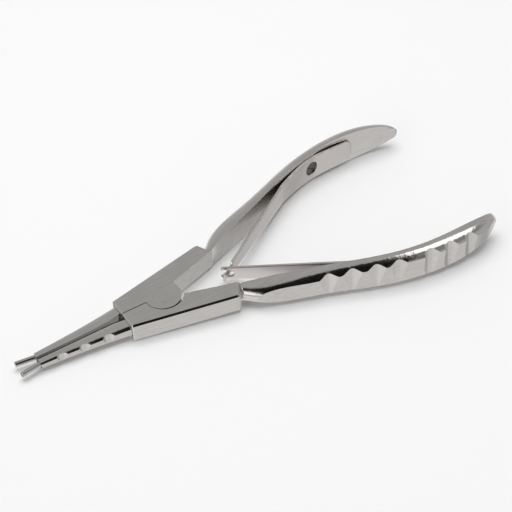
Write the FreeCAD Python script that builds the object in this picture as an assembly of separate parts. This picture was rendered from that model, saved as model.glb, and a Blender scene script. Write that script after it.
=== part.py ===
import FreeCAD, Part
import math
import os

# Ring-opening pliers, 140 mm long. Two identical forgings, the lower one turned over about the X axis, cross
# in a lap joint. The jaw and the handle of each arm lie on the same side of the pivot, so squeezing opens
# the jaws. X runs along the closed jaws with the handles at +X, Y from the lower arm to the upper arm, Z along
# the pivot. Every shape is made about the joint's middle plane and raised at the end, so that Z = 0 is the
# underside of the joint's flat cheeks.

# Lap joint
JOINT_HALF = 3.05          # half the thickness of the joint
LAP_GAP = 0.05             # each lapped face's distance from the middle plane
SEAM_GAP = 0.12            # each arm's distance from the centre line at the jaws
FRONT_X = -12.5            # front face of the joint
FRONT_WIDTH = 5.6          # outer face of the joint at the front
REAR_X = 17.45             # rear end of the joint's ground outer face, just behind the step
REAR_WIDTH = 11.84         # outer face of the joint at the rear
CHEEK_CHAMFER = 0.5
FRONT_ROUND = 0.55         # upright corner at the front
REAR_ROUND = 1.1           # upright corner at the rear
DISC_RADIUS = 5.1          # half-moon disc of each arm, round the pivot
CLEARANCE_RADIUS = 5.5     # arc that the other arm's disc turns in
CLEARANCE_SHIFT = 0.25     # its centre is set back, so the gap is widest at the rear
CROTCH_X = 5.0             # where the disc meets the inner wall
CROTCH_Y = 2.66

# Pivot rivet, countersunk and ground flush at both ends
RIVET_RADIUS = 2.0
RIVET_HEAD_RADIUS = 2.8
RIVET_HEAD_DEPTH = 0.8
RUNNING_CLEARANCE = 0.03

# Jaws
JAW_END_X = -37.6
JAW_ROOT_X = -11.0
JAW_BEVELS = ((JAW_ROOT_X, 0.4), (-16.0, 0.85), (JAW_END_X - 1.0, 0.5))    # x, height of the bevel's foot
NOTCH_X = (-18.7, -25.4, -31.7)
NOTCH_RADIUS = 2.4
NOTCH_DEPTH = 0.6          # at the jaw's lower shoulder
NOTCH_EDGE_Z = -1.0
NOTCH_TILT_DEG = 18.0      # the notches run out on the outer flat

# Tip pins
PIN_RADIUS = 0.78
PIN_SHANK_RADIUS = 0.6
PIN_SHANK_LENGTH = 3.0
PIN_LENGTH = 5.5
PIN_BASE_Y = 1.38
PIN_SPLAY_DEG = 7.2
PIN_CHAMFER = 0.12

# Handles
STEP_X = 18.2              # middle of the step from the ground cheeks to the forged handle
STEP_Y = 9.8
SPOON_X = 76.0             # widest point of the handle, where its rounded end begins
SPOON_HALF = 5.4
HANDLE_END_X = 96.6
STEP_TILT_DEG = 28.0       # the step lies square to the handle
STEP_ROUND = 1.2           # rounding of the handle at the step
SCALLOPS = ((40.8, 1.1), (47.1, 1.05), (53.6, 0.95), (59.8, 0.85), (69.6, 1.25), (76.1, 1.25), (83.4, 1.25))
SOFT_SCALLOPS = 4          # the first ones run out softly on both sides, the rest have a steep front wall
SCALLOP_HALF = 3.0         # half width along the handle
SCALLOP_WALL = 2.1         # where a steep front wall stands
SCALLOP_EDGE_Z = -3.0      # the depths are at this height, below the middle
SCALLOP_TILT_DEG = 8.0     # the grooves grow shallower across the flat

# Leaf springs, each screwed to the inside of its handle
LEAF_THICK = 0.8
LEAF_HALF = 4.1            # over the screw
LEAF_END_HALF = 3.2
LEAF_END_X = 80.2
LEAF_CORNER = 2.2
LIFT_X = 62.0              # from here to the bend the leaf lifts off the pad
LIFT = 0.7                 # gap under the leaf at the bend
BEND_X = 50.0
BEND_Y = 18.3
SPRING_GAP = 0.08          # slit at the bend, round the root's rounded end
BEND_HALF = 3.4            # half width of the blade at the bend
TIP_HALF = 2.0             # half width of the blade at its tip
CROSSING_X = 20.6          # where the two blades cross on the centre line
SLOT_HALF = 1.25
SLOT_LENGTH = 3.4
PRONG_GAP_HALF = 0.95
NECK_HALF = 0.75
NECK_LENGTH = 3.2
HEAD_HALF = 1.5
HEAD_LENGTH = 0.8

# Spring screws
SCREW_X = 64.3
SCREW_HEAD_RADIUS = 2.15
SCREW_HOLE_RADIUS = 2.3
SCREW_RECESS = 0.45
SCREW_CONE = 0.3
SCREW_SHANK_RADIUS = 1.25
SCREW_THREAD_CLEARANCE = 0.03
SCREW_SHANK_LENGTH = 2.0
SCREW_SLOT_WIDTH = 0.6
SCREW_SLOT_DEPTH = 0.25

REACH = 60.0               # size of cutting tools, larger than any section

# Handle stations: x, pad, half height, outer flat, half height of the outer flat
STATIONS = (
    (15.0, 6.1, 3.05, 11.0, 1.6),
    (25.0, 9.7, 3.6, 14.3, 2.15),
    (35.0, 13.4, 4.3, 17.9, 2.65),
    (45.0, 17.4, 4.75, 21.3, 3.0),
    (55.0, 21.4, 5.15, 25.05, 3.2),
    (65.0, 24.2, 5.35, 27.75, 3.3),
    (SPOON_X, 25.3, SPOON_HALF, 29.15, 3.3),
    (85.0, 24.9, 4.86, 28.95, 2.6),
    (91.0, 24.1, 3.7, 27.65, 1.85),
    (96.0, 23.0, 1.25, 24.9, 0.5),
)

# Jaw stations: x, outer flat, middle of the oval, half width, half height
JAW_STATIONS = (
    (JAW_ROOT_X, 5.0, 2.4, 3.1, 2.1),
    (-20.0, 3.85, 1.85, 2.36, 1.67),
    (-28.0, 3.08, 1.5, 1.88, 1.4),
    (JAW_END_X - 0.4, 2.37, 1.14, 1.48, 1.14),
)


def vec(x, y, z=0.0):
    return FreeCAD.Vector(x, y, z)


def prism(outline, low, high):
    """Closed outline of (x, y) points, extruded between two heights."""
    wire = Part.makePolygon([vec(x, y, low) for x, y in outline + outline[:1]])
    return Part.Face(wire).extrude(vec(0, 0, high - low))


def cylinder(radius, base, direction, length):
    return Part.makeCylinder(radius, length, base, direction)


def curve(points, z=0.0):
    """Smooth edge through (x, y) points."""
    spline = Part.BSplineCurve()
    spline.interpolate([vec(x, y, z) for x, y in points])
    return spline.toShape()


def beyond(points, low, high):
    """Everything on the +Y side of a smooth curve, between two heights."""
    first, last = points[0], points[-1]
    sides = [vec(last[0], last[1], low), vec(last[0], last[1] + REACH, low),
             vec(first[0], first[1] + REACH, low), vec(first[0], first[1], low)]
    outline = Part.Wire([curve(points, low)] + Part.makePolygon(sides).Edges)
    return Part.Face(outline).extrude(vec(0, 0, high - low))


def turned_over(shape):
    """The same piece turned over about the X axis, for the lower arm."""
    other = shape.copy()
    other.rotate(vec(0, 0), vec(1, 0), 180)
    return other


def station_at(x, column):
    """One station column at x, on a cubic through the four nearest stations."""
    nearest = sorted(STATIONS, key=lambda station: abs(station[0] - x))[:4]
    total = 0.0
    for one in nearest:
        weight = 1.0
        for other in nearest:
            if other is not one:
                weight *= (x - other[0]) / (one[0] - other[0])
        total += weight * one[column]
    return total


def pad_at(x):
    return station_at(x, 1)


def flat_at(x):
    return station_at(x, 3)


# ---------------------------------------------------------------- arms

def step_x(y):
    """The slanted step between the ground cheeks and the forged handle."""
    return STEP_X - (y - STEP_Y) * math.tan(math.radians(STEP_TILT_DEG))


def joint_block():
    """Ground flat cheeks of one arm, before the lap is cut."""
    inner_y = 7.3
    outline = [(FRONT_X, SEAM_GAP), (FRONT_X, FRONT_WIDTH), (REAR_X, REAR_WIDTH),
               (step_x(inner_y) + 0.3, inner_y), (13.4, 5.3), (CROTCH_X, CROTCH_Y), (0.0, SEAM_GAP)]
    block = prism(outline, -JOINT_HALF, JOINT_HALF)
    block = block.makeFillet(FRONT_ROUND, upright_edge(block, FRONT_X, FRONT_WIDTH))
    block = block.makeFillet(REAR_ROUND, upright_edge(block, REAR_X, REAR_WIDTH))
    return block.makeChamfer(CHEEK_CHAMFER, [edge for edge in block.Edges if on_outer_rim(edge)])


def upright_edge(block, x, y):
    corner = vec(x, y)
    return [edge for edge in block.Edges if edge.CenterOfMass.distanceToPoint(corner) < 0.01]


def on_outer_rim(edge):
    """True for the long top and bottom edges of the outer face."""
    middle = edge.CenterOfMass
    along = (middle.x - FRONT_X) / (REAR_X - FRONT_X)
    outer = FRONT_WIDTH + along * (REAR_WIDTH - FRONT_WIDTH)
    return edge.Length > 20 and abs(middle.y - outer) < 0.01


def handle_section(x, pad, half, flat, flat_half):
    """D section: a straight pad and half an oval that the outer flat later cuts."""
    depth = (flat - pad) / math.sqrt(1 - (flat_half / half) ** 2)
    steps = 12
    angles = [math.pi / 2 - math.pi * i / steps for i in range(steps + 1)]
    points = [vec(x, pad + depth * math.cos(a), half * math.sin(a)) for a in angles]
    spline = Part.BSplineCurve()
    spline.interpolate(points)
    return Part.Wire([spline.toShape(), Part.makeLine(points[-1], points[0])])


def handle():
    """Forged handle: D sections lofted to a rounded spoon end, stepped at the cheeks, ground flat outside."""
    tip = Part.Vertex(vec(HANDLE_END_X, 23.4, 0))
    body = Part.makeLoft([handle_section(*station) for station in STATIONS] + [tip], True, False)
    in_front = [(step_x(REACH), REACH), (step_x(-REACH), -REACH), (-REACH, -REACH), (-REACH, REACH)]
    body = body.cut(prism(in_front, -REACH, REACH))
    near = [edge for edge in body.Edges if edge.Length > 8 and edge.BoundBox.XMax < STEP_X + 4]
    body = body.makeFillet(STEP_ROUND, near)
    flat = [(s[0], s[3]) for s in STATIONS] + [(HANDLE_END_X + 1.0, 24.2)]
    return body.cut(beyond(flat, -REACH, REACH))


def leaning(outward, tilt_deg):
    """Direction across an outer flat that leans outwards as it rises, so that a groove grows shallower."""
    tilt = math.radians(tilt_deg)
    return vec(0, 0, math.cos(tilt)) + outward * math.sin(tilt)


def scallop(x, depth, steep):
    """Tool for one finger groove: a bell-shaped outline swept across the handle's outer flat."""
    slope = (flat_at(x + 1) - flat_at(x - 1)) / 2
    outward = vec(-slope, 1).normalize()
    along = vec(outward.y, -outward.x)
    foot = vec(x, flat_at(x), SCALLOP_EDGE_Z)
    start = -SCALLOP_WALL if steep else -SCALLOP_HALF
    rise = 0.55 if steep else 0.0
    stops = [(start, rise), (start / 2, 0.86 if steep else 0.5), (0.0, 1.0), (SCALLOP_HALF / 2, 0.5),
             (SCALLOP_HALF, 0.0)]
    spline = Part.BSplineCurve()
    spline.interpolate([foot + along * u - outward * (depth * share) for u, share in stops])
    ends = [foot + along * SCALLOP_HALF, foot + along * SCALLOP_HALF + outward * 3,
            foot + along * start + outward * 3, foot + along * start - outward * (depth * rise)]
    outline = Part.Wire([spline.toShape()] + Part.makePolygon(ends).Edges)
    sweep = leaning(outward, SCALLOP_TILT_DEG) * REACH
    tool = Part.Face(outline).extrude(sweep)
    tool.translate(sweep * -0.5)
    return tool


def scallops():
    """Finger grooves ground across the handle's outer flat."""
    return [scallop(x, depth, i >= SOFT_SCALLOPS) for i, (x, depth) in enumerate(SCALLOPS)]


def jaw():
    """Tapered oval jaw with a flat inner face, a flat outer face and bevelled inner edges."""
    wires = []
    for x, flat, middle, half_width, half_height in JAW_STATIONS:
        ellipse = Part.Ellipse(vec(x, middle + half_width, 0), vec(x, middle, half_height), vec(x, middle, 0))
        wires.append(Part.Wire([ellipse.toShape()]))
    body = Part.makeLoft(wires, True, False)
    flat = [(s[0], s[1]) for s in reversed(JAW_STATIONS)]
    body = body.cut(beyond(flat, -REACH, REACH))
    body = body.cut(Part.makeBox(REACH, REACH, REACH, vec(-REACH, SEAM_GAP - REACH, -REACH / 2)))
    end = Part.makeBox(REACH, REACH, REACH, vec(-REACH, -REACH / 2, -REACH / 2))
    end.rotate(vec(0, 0), vec(0, 0, 1), -PIN_SPLAY_DEG)
    end.translate(pin_base())
    return body.cut([bevel(), bevel().mirror(vec(0, 0), vec(0, 0, 1)), end])


def bevel():
    """Wedge that takes the inner top edge off the jaw at 45 degrees."""
    sections = []
    for x, foot in JAW_BEVELS:
        points = [vec(x, -1, foot - 1), vec(x, 4, foot + 4), vec(x, -1, foot + 4)]
        sections.append(Part.makePolygon(points + points[:1]))
    return Part.makeLoft(sections, True, True)


def jaw_flat_at(x):
    """Outer flat of the jaw and its slope at x."""
    for right, left in zip(JAW_STATIONS, JAW_STATIONS[1:]):
        if left[0] <= x <= right[0]:
            slope = (right[1] - left[1]) / (right[0] - left[0])
            return left[1] + slope * (x - left[0]), slope
    raise ValueError("no jaw at %g" % x)


def notches():
    """Three grooves across the jaw's outer shoulder."""
    tools = []
    for x in NOTCH_X:
        y, slope = jaw_flat_at(x)
        outward = vec(-slope, 1).normalize()
        axis = leaning(outward, NOTCH_TILT_DEG)
        centre = vec(x, y, NOTCH_EDGE_Z) + outward * (NOTCH_RADIUS - NOTCH_DEPTH)
        tools.append(cylinder(NOTCH_RADIUS, centre - axis * REACH / 2, axis, REACH))
    return tools


def pin_direction():
    angle = math.radians(PIN_SPLAY_DEG)
    return vec(-math.cos(angle), math.sin(angle))


def pin_base():
    return vec(JAW_END_X, PIN_BASE_Y)


def screw_frame():
    """Centre of the screw on the leaf's face, and the direction into the handle."""
    slope = (pad_at(SCREW_X + 1) - pad_at(SCREW_X - 1)) / 2
    inward = vec(-slope, 1).normalize()
    face = vec(SCREW_X, pad_at(SCREW_X)) - inward * LEAF_THICK
    return face, inward


def arm():
    """One forging, as the upper arm."""
    block = joint_block().fuse([handle(), jaw()])
    disc = cylinder(DISC_RADIUS, vec(0, 0, LAP_GAP), vec(0, 0, 1), JOINT_HALF - LAP_GAP)
    clearance = cylinder(CLEARANCE_RADIUS, vec(CLEARANCE_SHIFT, 0, -JOINT_HALF - 1), vec(0, 0, 1),
                         JOINT_HALF + 1 + LAP_GAP)
    block = block.cut(clearance).fuse(disc)
    face, inward = screw_frame()
    thread_radius = SCREW_SHANK_RADIUS + SCREW_THREAD_CLEARANCE
    thread = cylinder(thread_radius, face, inward, SCREW_SHANK_LENGTH + LEAF_THICK)
    socket = cylinder(PIN_SHANK_RADIUS, pin_base(), pin_direction() * -1, PIN_SHANK_LENGTH)
    block = block.cut([thread, socket] + scallops() + notches())
    return block.removeSplitter()


# ---------------------------------------------------------------- small pieces

def rivet(clearance=0.0):
    """Countersunk rivet; its half in the upper arm can be grown by the running clearance."""
    shank = cylinder(RIVET_RADIUS + clearance, vec(0, 0, -JOINT_HALF), vec(0, 0, 1), 2 * JOINT_HALF)
    head = Part.makeCone(RIVET_RADIUS + clearance, RIVET_HEAD_RADIUS + clearance, RIVET_HEAD_DEPTH,
                         vec(0, 0, JOINT_HALF - RIVET_HEAD_DEPTH), vec(0, 0, 1))
    foot = Part.makeCone(RIVET_HEAD_RADIUS + clearance, RIVET_RADIUS + clearance, RIVET_HEAD_DEPTH,
                         vec(0, 0, -JOINT_HALF), vec(0, 0, 1))
    return shank.fuse([head, foot]).removeSplitter()


def tip_pin():
    """Hardened pin with a thinner shank pressed into the jaw."""
    outward = pin_direction()
    body = cylinder(PIN_RADIUS, pin_base(), outward, PIN_LENGTH)
    end = pin_base() + outward * PIN_LENGTH
    rim = [e for e in body.Edges if e.CenterOfMass.distanceToPoint(end) < 0.01]
    body = body.makeChamfer(PIN_CHAMFER, rim)
    shank = cylinder(PIN_SHANK_RADIUS, pin_base(), outward * -1, PIN_SHANK_LENGTH)
    return body.fuse(shank).removeSplitter()


def blade_angle():
    return math.atan2(BEND_Y, BEND_X - CROSSING_X)


def blade_length():
    return math.hypot(BEND_Y, BEND_X - CROSSING_X)


def leaf_face_at(x):
    """Inner face of the leaf: on the pad behind LIFT_X, then lifting towards the bend."""
    rise = max(0.0, (LIFT_X - x) / (LIFT_X - BEND_X))
    return pad_at(x) - LEAF_THICK - LIFT * rise ** 1.5


def leaf_root():
    """Leaf screwed to the pad, from its rounded end to the bend, which it rounds."""
    stops = [BEND_X + i * (LEAF_END_X - BEND_X) / 9 for i in range(10)]
    inner = [(x, leaf_face_at(x)) for x in stops]
    sink = [0.0 if x < LIFT_X else 0.4 for x in stops]
    outer = [(x, y + LEAF_THICK + more) for (x, y), more in zip(inner, sink)]
    half = [(BEND_X, BEND_HALF), (LIFT_X, LEAF_HALF), (LEAF_END_X, LEAF_END_HALF)]
    outline = Part.makePolygon([vec(x, 0, z) for x, z in mirrored_outline(half) + half[:1]])
    strip = Part.Face(outline).extrude(vec(0, REACH, 0))
    corners = [e for e in strip.Edges if abs(e.CenterOfMass.x - LEAF_END_X) < 0.01 and e.Length > 50]
    strip = strip.makeFillet(LEAF_CORNER, corners)
    strip = strip.common(beyond(inner, -REACH, REACH)).cut([beyond(outer, -REACH, REACH), handle()])
    knuckle = cylinder(LEAF_THICK / 2, vec(BEND_X, BEND_Y, -BEND_HALF), vec(0, 0, 1), 2 * BEND_HALF)
    face, inward = screw_frame()
    hole = cylinder(SCREW_HOLE_RADIUS, face - inward, inward, 1 + SCREW_RECESS)
    through = cylinder(SCREW_HEAD_RADIUS - SCREW_CONE - 0.2, face, inward, 2.0)
    return strip.fuse(knuckle).cut([hole, through, screw_cone()]).removeSplitter()


def screw_cone():
    """Countersunk part of the screw head, which the leaf's hole matches."""
    face, inward = screw_frame()
    return Part.makeCone(SCREW_HEAD_RADIUS, SCREW_HEAD_RADIUS - SCREW_CONE, SCREW_CONE,
                         face + inward * SCREW_RECESS, inward)


def blade_blank(width_points):
    """Flat strip along +X from the bend, with the given outline of (x, z) points, moved to its place."""
    wire = Part.makePolygon([vec(x, -LEAF_THICK / 2, z) for x, z in width_points + width_points[:1]])
    strip = Part.Face(wire).extrude(vec(0, LEAF_THICK, 0))
    knuckle = cylinder(LEAF_THICK / 2 + SPRING_GAP, vec(0, 0, -REACH), vec(0, 0, 1), 2 * REACH)
    strip = strip.cut(knuckle)
    strip.rotate(vec(0, 0), vec(0, 0, 1), 180 + math.degrees(blade_angle()))
    strip.translate(vec(BEND_X, BEND_Y))
    return strip


def mirrored_outline(half):
    """Closed outline from its +z half."""
    return half + [(x, -z) for x, z in reversed(half)]


def tongue_blade():
    """Upper blade: tapers to a neck and a wider head that hook into the fork."""
    length = blade_length()
    shoulder = length - NECK_LENGTH / 2
    neck_end = length + NECK_LENGTH / 2
    half = [(0.0, BEND_HALF), (shoulder - 0.8, TIP_HALF), (shoulder, NECK_HALF),
            (neck_end, NECK_HALF), (neck_end, HEAD_HALF), (neck_end + HEAD_LENGTH, HEAD_HALF)]
    return blade_blank(mirrored_outline(half))


def fork_blade():
    """Lower blade: tapers to two prongs that close in a little at their ends."""
    length = blade_length()
    slot_end = length - SLOT_LENGTH / 2
    prong_end = length + SLOT_LENGTH / 2
    outside = [(0.0, BEND_HALF), (prong_end - 0.5, TIP_HALF), (prong_end + 0.3, TIP_HALF - 0.5),
               (prong_end + 0.3, PRONG_GAP_HALF), (prong_end - 0.4, SLOT_HALF), (slot_end, SLOT_HALF)]
    return turned_over(blade_blank(mirrored_outline(outside)))


def spring_screw():
    """Slotted screw whose countersunk head lies in the leaf."""
    face, inward = screw_frame()
    seat = face + inward * SCREW_RECESS
    head = screw_cone()
    shank = cylinder(SCREW_SHANK_RADIUS, seat, inward, LEAF_THICK - SCREW_RECESS + SCREW_SHANK_LENGTH - 0.1)
    slot = Part.makeBox(REACH, 2 * SCREW_SLOT_DEPTH, SCREW_SLOT_WIDTH,
                        vec(-REACH / 2, -SCREW_SLOT_DEPTH, -SCREW_SLOT_WIDTH / 2))
    slot.rotate(vec(0, 0), vec(0, 1), 35)
    slot.rotate(vec(0, 0), vec(0, 0, 1), math.degrees(math.atan2(inward.y, inward.x)) - 90)
    slot.translate(seat)
    return head.fuse(shank).cut(slot)


def save(name, shape):
    shape.translate(vec(0, 0, JOINT_HALF))
    print("%-20s solids %d  valid %s  %8.1f mm3" % (name, len(shape.Solids), shape.isValid(), shape.Volume))
    shape.exportStep("parts/%s.step" % name)


def main():
    os.makedirs("parts", exist_ok=True)
    forging = arm()
    root = leaf_root()
    save("upper_arm", forging.cut(rivet(RUNNING_CLEARANCE)))
    save("lower_arm", turned_over(forging).cut(rivet()))
    save("pivot_rivet", rivet())
    save("upper_tip_pin", tip_pin())
    save("lower_tip_pin", turned_over(tip_pin()))
    save("upper_spring_root", root.copy())
    save("lower_spring_root", turned_over(root))
    save("upper_spring_blade", tongue_blade())
    save("lower_spring_blade", fork_blade())
    save("upper_spring_screw", spring_screw())
    save("lower_spring_screw", turned_over(spring_screw()))


main()
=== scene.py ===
import math

import bmesh
import bpy
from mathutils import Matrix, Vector

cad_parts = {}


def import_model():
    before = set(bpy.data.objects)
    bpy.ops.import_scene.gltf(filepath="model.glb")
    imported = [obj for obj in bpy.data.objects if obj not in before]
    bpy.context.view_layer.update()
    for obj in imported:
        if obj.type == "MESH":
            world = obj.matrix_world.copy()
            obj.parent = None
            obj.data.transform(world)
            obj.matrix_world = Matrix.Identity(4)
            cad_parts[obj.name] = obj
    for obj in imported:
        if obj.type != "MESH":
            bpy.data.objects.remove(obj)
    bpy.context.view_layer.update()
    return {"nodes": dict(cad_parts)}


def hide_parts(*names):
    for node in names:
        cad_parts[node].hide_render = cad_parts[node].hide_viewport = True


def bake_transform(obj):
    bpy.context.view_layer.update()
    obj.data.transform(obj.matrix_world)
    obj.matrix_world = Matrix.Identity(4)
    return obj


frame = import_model()
nodes = frame["nodes"]

MM = 0.001

# Leaf springs, in millimetres: the CAD nodes' own numbers, apart from LEAF_EDGE and the bow
MID_Z = 3.05                # middle plane of the joint
PAD = ((45.0, 17.4), (55.0, 21.4), (65.0, 24.2), (76.0, 25.3), (85.0, 24.9))
LEAF_THICK = 0.8
LEAF_EDGE = 0.2             # rounding of the rolled strip's edges
LEAF_END_X, LEAF_END_HALF, LEAF_CORNER = 80.2, 3.2, 2.2
LIFT_X, LIFT, LEAF_HALF = 62.0, 0.7, 4.1
WIDE_X = 67.0               # the leaf is at its widest from here to LIFT_X
BOW_X, BOW = 65.5, 0.4      # behind the screw the leaf bows off the hollow pad and meets it again at its end
BEND_X, BEND_Y, BEND_HALF = 50.0, 18.3, 3.4
CROSSING_X = 20.6
TIP_HALF = 2.0
SLOT_HALF, SLOT_LENGTH, PRONG_GAP_HALF = 1.25, 3.4, 0.95
NECK_HALF, NECK_LENGTH, HEAD_HALF, HEAD_LENGTH = 0.75, 3.2, 1.5, 0.8
SCREW_X, SCREW_HOLE_RADIUS = 64.3, 2.3
BLEND_REACH = 5.0           # two points on the leaf's middle line are found this far before and after its bend; nothing uses them
BEND_STEP = 0.75            # spacing of the cuts across the strip, so that it can bend
HOLE_CORNERS = 40

# Where the tool touches the floor: the handles' lower edges and the joint's front lower edge
HANDLE_REST_X, FRONT_REST_X, REST_DROP = 74.0, -12.5, 2.35
FLOOR_GAP = 0.02

# Surface of the steel
EDGE_RADIUS = 0.08          # rounding that edge wear and edge highlights follow
RELIEF = 0.02               # depth of the grain


# ---------------------------------------------------------------- node helpers

def put(tree, socket, source):
    """Sets an input to a number or links it to another node's output."""
    if isinstance(source, (int, float)):
        socket.default_value = source
    else:
        tree.links.new(source, socket)


def math_node(tree, operation, a, b=0.0):
    node = tree.nodes.new("ShaderNodeMath")
    node.operation = operation
    put(tree, node.inputs[0], a)
    put(tree, node.inputs[1], b)
    return node.outputs[0]


def band(tree, source, start, end):
    """Smooth step from 0 at start to 1 at end."""
    node = tree.nodes.new("ShaderNodeMapRange")
    node.interpolation_type = "SMOOTHSTEP"
    node.inputs["From Min"].default_value = start
    node.inputs["From Max"].default_value = end
    put(tree, node.inputs["Value"], source)
    return node.outputs["Result"]


def between(tree, factor, a, b):
    """a where factor is 0, b where it is 1."""
    node = tree.nodes.new("ShaderNodeMix")
    put(tree, node.inputs["Factor"], factor)
    put(tree, node.inputs["A"], a)
    put(tree, node.inputs["B"], b)
    return node.outputs["Result"]


def tints(tree, factor, a, b):
    """Colour between a and b; a may be another colour output."""
    node = tree.nodes.new("ShaderNodeMix")
    node.data_type = "RGBA"
    put(tree, node.inputs["Factor"], factor)
    if isinstance(a, tuple):
        node.inputs["A"].default_value = (*a, 1.0)
    else:
        tree.links.new(a, node.inputs["A"])
    node.inputs["B"].default_value = (*b, 1.0)
    return node.outputs["Result"]


def noise(tree, coords, scale, detail, stretch=(1.0, 1.0, 1.0)):
    mapping = tree.nodes.new("ShaderNodeMapping")
    mapping.inputs["Scale"].default_value = stretch
    tree.links.new(coords, mapping.inputs["Vector"])
    node = tree.nodes.new("ShaderNodeTexNoise")
    node.inputs["Scale"].default_value = scale
    node.inputs["Detail"].default_value = detail
    tree.links.new(mapping.outputs["Vector"], node.inputs["Vector"])
    return node.outputs["Fac"]


def scaled(colour, factor):
    return tuple(min(1.0, channel * factor) for channel in colour)


# ---------------------------------------------------------------- materials

def steel(name, tint, polished, ground, grain, bump):
    """Stainless steel: polished round faces, satin flat ones, fine grain, cloudy wear, bright worn edges."""
    material = bpy.data.materials.new(name)
    material.use_nodes = True
    tree = material.node_tree
    shader = tree.nodes["Principled BSDF"]
    shader.inputs["Metallic"].default_value = 1.0
    coords = tree.nodes.new("ShaderNodeTexCoord").outputs["Object"]
    lines = noise(tree, coords, 1.0, 4.0, grain)
    clouds = noise(tree, coords, 140.0, 3.0)
    pores = noise(tree, coords, 3200.0, 2.0)

    geometry = tree.nodes.new("ShaderNodeNewGeometry")
    rounded = tree.nodes.new("ShaderNodeBevel")
    rounded.samples = 4
    rounded.inputs["Radius"].default_value = EDGE_RADIUS * MM
    facing = tree.nodes.new("ShaderNodeVectorMath")
    facing.operation = "DOT_PRODUCT"
    tree.links.new(rounded.outputs["Normal"], facing.inputs[0])
    tree.links.new(geometry.outputs["Normal"], facing.inputs[1])
    edge = band(tree, facing.outputs["Value"], 0.995, 0.93)

    cloudy = math_node(tree, "MULTIPLY", clouds, 0.4)
    mottle = math_node(tree, "ADD", math_node(tree, "MULTIPLY", lines, 0.6), cloudy)
    metal = tints(tree, band(tree, mottle, 0.3, 0.7), scaled(tint, 0.93), scaled(tint, 1.05))
    tree.links.new(tints(tree, math_node(tree, "MULTIPLY", edge, 0.6), metal, scaled(tint, 1.3)),
                   shader.inputs["Base Color"])

    split = tree.nodes.new("ShaderNodeSeparateXYZ")
    tree.links.new(geometry.outputs["True Normal"], split.inputs["Vector"])
    level = math_node(tree, "ABSOLUTE", split.outputs["Z"])
    flat = math_node(tree, "MAXIMUM", band(tree, level, 0.985, 0.999), band(tree, level, 0.3, 0.15))
    finish = between(tree, flat, polished, ground)
    spread = between(tree, band(tree, mottle, 0.25, 0.75), 0.8, 1.25)
    tree.links.new(math_node(tree, "MULTIPLY", finish, spread), shader.inputs["Roughness"])

    relief = tree.nodes.new("ShaderNodeBump")
    relief.inputs["Strength"].default_value = bump
    relief.inputs["Distance"].default_value = RELIEF * MM
    height = math_node(tree, "ADD", lines, math_node(tree, "MULTIPLY", pores, 0.25))
    tree.links.new(height, relief.inputs["Height"])
    tree.links.new(rounded.outputs["Normal"], relief.inputs["Normal"])
    tree.links.new(relief.outputs["Normal"], shader.inputs["Normal"])
    return material


FORGED = steel("forged_steel", (0.60, 0.58, 0.56), 0.13, 0.24, (70.0, 1500.0, 1500.0), 0.12)
PIN = steel("pin_steel", (0.58, 0.565, 0.55), 0.12, 0.2, (90.0, 2500.0, 2500.0), 0.12)
SPRING = steel("spring_steel", (0.655, 0.62, 0.60), 0.22, 0.34, (160.0, 160.0, 2600.0), 0.15)
SCREW = steel("screw_steel", (0.14, 0.135, 0.13), 0.3, 0.32, (1500.0, 1500.0, 1500.0), 0.3)

MATERIALS = {
    "arm": FORGED,
    "rivet": FORGED,
    "pin": PIN,
    "root": SPRING,
    "blade": SPRING,
    "screw": SCREW,
}


def dress(obj, material, sharp_degrees=22):
    obj.data.materials.clear()
    obj.data.materials.append(material)
    for polygon in obj.data.polygons:
        polygon.use_smooth = True
    obj.data.set_sharp_from_angle(angle=math.radians(sharp_degrees))


for name, node in nodes.items():
    dress(node, MATERIALS[name.rsplit("_", 1)[1]])


# ---------------------------------------------------------------- leaf springs

def pad_at(x):
    """Inner face of the handle, on a cubic through its four nearest stations."""
    nearest = sorted(PAD, key=lambda station: abs(station[0] - x))[:4]
    total = 0.0
    for here, y in nearest:
        weight = 1.0
        for there, _ in nearest:
            if there != here:
                weight *= (x - there) / (here - there)
        total += weight * y
    return total


def leaf_middle(x):
    """Middle of the leaf's thickness behind its bend, as a point in the plane of the handles."""
    rise = max(0.0, (LIFT_X - x) / (LIFT_X - BEND_X))
    bow = BOW * math.sin(math.pi * min(1.0, max(0.0, (x - BOW_X) / (LEAF_END_X - BOW_X))))
    return Vector((x, pad_at(x) - LEAF_THICK / 2 - LIFT * rise ** 1.5 - bow))


def leaf_line(reach, step=0.5):
    """Middle line of a leaf as (distance from the bend, point), from the screwed end to the blade's tip."""
    stops = [leaf_middle(BEND_X + i * step) for i in range(int((LEAF_END_X - BEND_X + 2.0) / step), 1, -1)]
    bend = Vector((BEND_X, BEND_Y))
    along = (Vector((CROSSING_X, 0.0)) - bend).normalized()
    count = int(reach / step) + 1
    blade = [bend + along * (i * step) for i in range(2, count + 2)]
    travelled = -sum((b - a).length for a, b in zip(stops, stops[1:])) - (bend - stops[-1]).length
    line = []
    last = stops[0]
    for point in stops + blade:
        travelled += (point - last).length
        line.append((travelled, point))
        last = point
    return line


def place_on(line, distance, offset):
    """Point at a distance along the line, offset square to it."""
    index = 1
    while index < len(line) - 1 and line[index][0] < distance:
        index += 1
    (d0, p0), (d1, p1) = line[index - 1], line[index]
    point = p0.lerp(p1, (distance - d0) / (d1 - d0))
    low, high = line[max(0, index - 3)][1], line[min(len(line) - 1, index + 2)][1]
    along = (high - low).normalized()
    return point + Vector((along.y, -along.x)) * offset


def distance_at(line, x):
    """Distance from the bend of the place behind it where the leaf is at x."""
    return min(line, key=lambda stop: abs(stop[1].x - x))[0]


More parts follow.
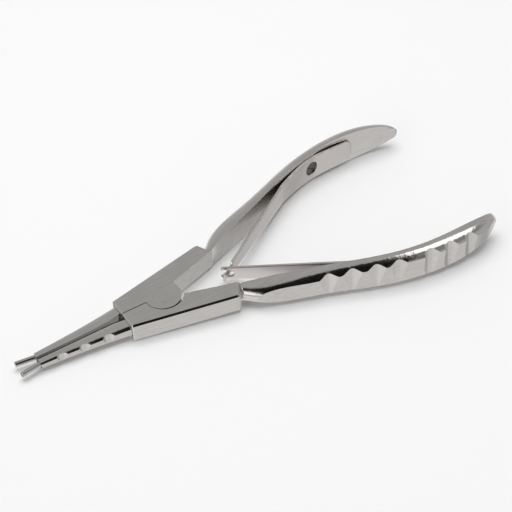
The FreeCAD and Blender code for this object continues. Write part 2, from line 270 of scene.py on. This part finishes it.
def with_round_corners(corners, steps=6):
    """Closed outline through (s, z, radius) corners, each rounded with an arc unless its radius is 0."""
    outline = []
    for index, (s, z, radius) in enumerate(corners):
        here = Vector((s, z))
        before = Vector(corners[index - 1][:2])
        after = Vector(corners[(index + 1) % len(corners)][:2])
        if radius == 0.0:
            outline.append(here)
            continue
        inward, outward = (before - here).normalized(), (after - here).normalized()
        half_angle = inward.angle(outward) / 2
        centre = here + (inward + outward).normalized() * (radius / math.sin(half_angle))
        start = here + inward * (radius / math.tan(half_angle)) - centre
        turn = start.angle_signed(here + outward * (radius / math.tan(half_angle)) - centre)
        for i in range(steps + 1):
            angle = -turn * i / steps
            outline.append(centre + Vector((start.x * math.cos(angle) - start.y * math.sin(angle),
                                            start.x * math.sin(angle) + start.y * math.cos(angle))))
    return outline


def mirrored(half):
    """Closed list of corners from its +z half."""
    return half + [(s, -z, radius) for s, z, radius in reversed(half)]


def root_corners(line):
    """Half outline of the screwed part, from its rounded end to the bend."""
    return [(distance_at(line, LEAF_END_X), LEAF_END_HALF, LEAF_CORNER),
            (distance_at(line, WIDE_X), LEAF_HALF, 0.0),
            (distance_at(line, LIFT_X), LEAF_HALF, 0.0),
            (0.0, BEND_HALF, 0.0)]


def tongue_corners(crossing):
    """Half outline of the upper blade: a neck and a wider head that hook into the fork."""
    neck_start = crossing - NECK_LENGTH / 2
    neck_end = crossing + NECK_LENGTH / 2
    return [(neck_start - 0.8, TIP_HALF, 0.5), (neck_start, NECK_HALF, 0.3), (neck_end, NECK_HALF, 0.15),
            (neck_end, HEAD_HALF, 0.3), (neck_end + HEAD_LENGTH, HEAD_HALF, 0.35)]


def fork_corners(crossing):
    """Half outline of the lower blade: prongs that close in a little at their ends."""
    slot_end = crossing - SLOT_LENGTH / 2
    prong_end = crossing + SLOT_LENGTH / 2
    return [(prong_end + 0.3, TIP_HALF, 0.7), (prong_end + 0.3, PRONG_GAP_HALF, 0.15),
            (prong_end - 0.4, SLOT_HALF, 0.2), (slot_end, SLOT_HALF, 0.9)]


def flat_strip(name, outline, hole):
    """Strip in its own (s, z) plane with rounded edges and a round hole."""
    data = bpy.data.curves.new(name, "CURVE")
    data.dimensions = "2D"
    data.fill_mode = "BOTH"
    data.extrude = LEAF_THICK / 2 - LEAF_EDGE
    data.bevel_depth = LEAF_EDGE
    data.bevel_resolution = 2
    data.offset = -LEAF_EDGE
    for loop in (outline, hole):
        spline = data.splines.new("POLY")
        spline.points.add(len(loop) - 1)
        spline.use_cyclic_u = True
        for point, corner in zip(spline.points, loop):
            point.co = (corner[0], corner[1], 0.0, 1.0)
    source = bpy.data.objects.new(name + "_outline", data)
    mesh = bpy.data.meshes.new_from_object(source)
    bpy.data.objects.remove(source)
    bpy.data.curves.remove(data)
    return mesh


def leaf_spring(name, side, tip_corners, overhang):
    """One bent leaf, screwed to its handle behind the bend and hooked to the other one at its tip."""
    crossing = math.hypot(BEND_X - CROSSING_X, BEND_Y)
    line = leaf_line(crossing + overhang + 1.0)
    outline = with_round_corners(mirrored(root_corners(line) + tip_corners(crossing)))
    screw = distance_at(line, SCREW_X)
    hole = [(screw + SCREW_HOLE_RADIUS * math.cos(a), SCREW_HOLE_RADIUS * math.sin(a))
            for a in (2 * math.pi * i / HOLE_CORNERS for i in range(HOLE_CORNERS))]
    mesh = flat_strip(name, outline, hole)
    shape = bmesh.new()
    shape.from_mesh(mesh)
    bmesh.ops.remove_doubles(shape, verts=shape.verts, dist=1e-4)
    cut = math.floor(line[0][0])
    while cut < crossing + overhang:
        bmesh.ops.bisect_plane(shape, geom=shape.verts[:] + shape.edges[:] + shape.faces[:],
                               plane_co=(cut, 0.0, 0.0), plane_no=(1.0, 0.0, 0.0))
        cut += BEND_STEP
    for vertex in shape.verts:
        s, z, depth = vertex.co
        spot = place_on(line, s, depth)
        vertex.co = Vector((spot.x, side * spot.y, MID_Z + z)) * MM
    bmesh.ops.recalc_face_normals(shape, faces=shape.faces)
    shape.to_mesh(mesh)
    shape.free()
    leaf = bpy.data.objects.new(name, mesh)
    bpy.context.scene.collection.objects.link(leaf)
    dress(leaf, SPRING, 30)
    arm = "upper" if side > 0 else "lower"
    start, end = (Vector((*place_on(line, reach, 0.0), MID_Z)) * MM for reach in (-BLEND_REACH, BLEND_REACH))
    start.y *= side
    end.y *= side
    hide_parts(arm + "_spring_root", arm + "_spring_blade")
    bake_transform(leaf)


leaf_spring("upper_leaf_spring", 1.0, tongue_corners, NECK_LENGTH / 2 + HEAD_LENGTH)
leaf_spring("lower_leaf_spring", -1.0, fork_corners, SLOT_LENGTH / 2 + 0.3)


# ---------------------------------------------------------------- floor, camera and light

GREY = 0.5                  # studio walls, as the metal mirrors them
DARK = 0.008                # black flag in front, above the tool
SIDE = 0.3                  # studio wall to the right of the flag
HORIZON = 0.55
PANEL = 1.5                 # white panel on the left
TABLE = (1.0, 0.84, 0.5, 0.85)    # table top, as the metal mirrors it: left, front, right and far right
BACKDROP = 0.95


def aim(obj, target):
    direction = Vector(target) - obj.location
    obj.rotation_euler = direction.to_track_quat("-Z", "Y").to_euler()


def floor():
    """Pale floor that the handles' lower edges and the joint's front lower edge rest on."""
    slope = math.atan2(REST_DROP, HANDLE_REST_X - FRONT_REST_X)
    bpy.ops.mesh.primitive_plane_add(size=6.0)
    plane = bpy.context.object
    plane.name = "floor"
    plane.rotation_euler = (0.0, slope, 0.0)
    plane.location = Vector((0.0, 0.0, FRONT_REST_X * MM * math.tan(slope) - FLOOR_GAP * MM))
    plane.visible_glossy = False
    material = bpy.data.materials.new("floor")
    material.use_nodes = True
    shader = material.node_tree.nodes["Principled BSDF"]
    shader.inputs["Base Color"].default_value = (0.92, 0.92, 0.92, 1.0)
    shader.inputs["Roughness"].default_value = 0.9
    shader.inputs["Specular IOR Level"].default_value = 0.0
    plane.data.materials.append(material)


def camera():
    """Above and in front of the tips, 370 mm from the middle of the pliers."""
    data = bpy.data.cameras.new("camera")
    data.lens = 91.9
    data.sensor_width = 36.0
    data.shift_x = -0.0596
    data.shift_y = -0.0209
    data.clip_start = 0.01
    obj = bpy.data.objects.new("camera", data)
    azimuth, elevation, distance = math.radians(-33.573), math.radians(44.42), 370 * MM
    target = Vector((40 * MM, 0.0, MID_Z * MM))
    back = Vector((math.sin(azimuth) * math.cos(elevation), -math.cos(azimuth) * math.cos(elevation),
                   math.sin(elevation)))
    obj.location = target + back * distance
    aim(obj, target)
    bpy.context.scene.collection.objects.link(obj)
    bpy.context.scene.camera = obj


def area(name, location, size, power, target, mirrored_only=False):
    """Soft light panel: either it lights the floor only, or only the metal mirrors it."""
    data = bpy.data.lights.new(name, "AREA")
    data.shape = "RECTANGLE"
    data.size, data.size_y = size
    data.energy = power
    obj = bpy.data.objects.new(name, data)
    obj.location = location
    obj.visible_camera = False
    obj.visible_glossy = mirrored_only
    obj.visible_diffuse = not mirrored_only
    bpy.context.scene.collection.objects.link(obj)
    aim(obj, target)


def world():
    """Studio that the metal mirrors: grey walls, black flag in front, white panel on the left, pale table.

    The borders between them are components of the mirrored direction.
    """
    data = bpy.data.worlds.new("studio")
    data.use_nodes = True
    tree = data.node_tree
    background = tree.nodes["Background"]
    background.inputs["Color"].default_value = (1.0, 1.0, 1.0, 1.0)
    split = tree.nodes.new("ShaderNodeSeparateXYZ")
    tree.links.new(tree.nodes.new("ShaderNodeTexCoord").outputs["Generated"], split.inputs["Vector"])
    x, y, z = (split.outputs[i] for i in range(3))
    flag_end = between(tree, band(tree, x, 0.15, 0.21), DARK, SIDE)
    flag = between(tree, band(tree, y, -0.10, -0.2), GREY, flag_end)
    level = between(tree, band(tree, z, 0.46, 0.34), flag, HORIZON)
    low_flag = math_node(tree, "MULTIPLY", band(tree, x, -0.42, -0.34), band(tree, x, -0.04, -0.1))
    low_flag = math_node(tree, "MULTIPLY", low_flag, band(tree, y, -0.6, -0.75))
    level = between(tree, low_flag, level, DARK)
    left = math_node(tree, "MULTIPLY", band(tree, x, -0.62, -0.74), band(tree, z, 0.04, 0.2))
    left = math_node(tree, "MULTIPLY", left, band(tree, y, 0.35, 0.1))
    level = between(tree, left, level, PANEL)
    behind = math_node(tree, "MULTIPLY", band(tree, x, -0.2, -0.35), band(tree, y, 0.0, 0.25))
    behind = math_node(tree, "MULTIPLY", behind, band(tree, z, -0.4, -0.55))
    left_table, front_table, right_table, far_table = TABLE
    right_table = between(tree, band(tree, y, -0.1, 0.15), right_table, far_table)
    table = between(tree, band(tree, x, -0.65, 0.05), left_table, front_table)
    table = between(tree, band(tree, x, 0.5, 0.72), table, right_table)
    table = between(tree, behind, table, DARK)
    level = between(tree, band(tree, z, -0.05, -0.2), level, table)
    seen = tree.nodes.new("ShaderNodeLightPath").outputs["Is Camera Ray"]
    tree.links.new(between(tree, seen, level, BACKDROP), background.inputs["Strength"])
    bpy.context.scene.world = data


floor()
camera()
world()
area("overhead", (0.05, 0.1, 0.9), (0.8, 0.8), 6.0, (0.03, 0.0, 0.0))
area("right_panel", (0.295, -0.12, 0.3), (0.31, 0.16), 0.24, (0.295, -0.12, 0.0), mirrored_only=True)
bpy.context.scene.view_settings.view_transform = "Standard"
